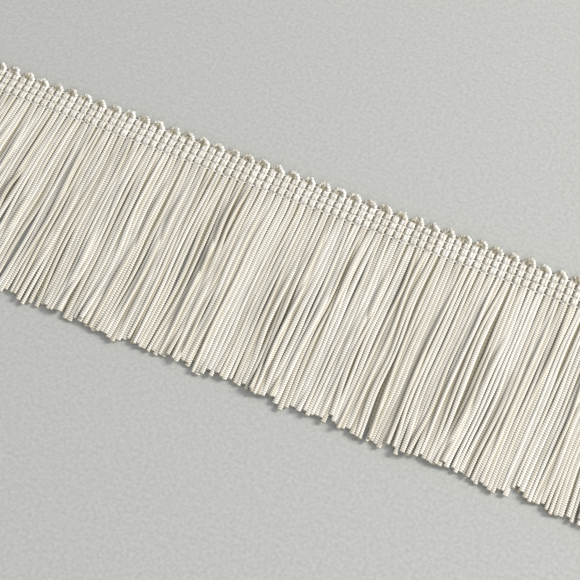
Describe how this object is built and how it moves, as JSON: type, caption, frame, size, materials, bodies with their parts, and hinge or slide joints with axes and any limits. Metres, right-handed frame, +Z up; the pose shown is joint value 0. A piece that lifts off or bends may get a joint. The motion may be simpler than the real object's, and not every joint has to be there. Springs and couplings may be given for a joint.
{
  "type": "chainette fringe trim, cut length",
  "caption": "Cut length of ivory chainette fringe trim lying flat: a narrow knitted heading with a picot edge and a skirt of hanging knitted cords.",
  "frame": {"origin": "middle of the trim's footprint, on the surface that it lies on", "axes": "+X along the trim, +Y from the cut ends towards the picot edge, +Z up from the back of the trim to its face"},
  "size_m": [0.2544, 0.0764, 0.002],
  "materials": {
    "heading_yarn": "ivory rayon chainette knitted into a firm ribbed band, soft lustre",
    "fringe_yarn": "ivory rayon chainette cords, fine knit stitches with a silky lustre, cut ends"
  },
  "bodies": {
    "root": {"heading": "heading_yarn", "fringe": "fringe_yarn"}
  },
  "joints": []
}
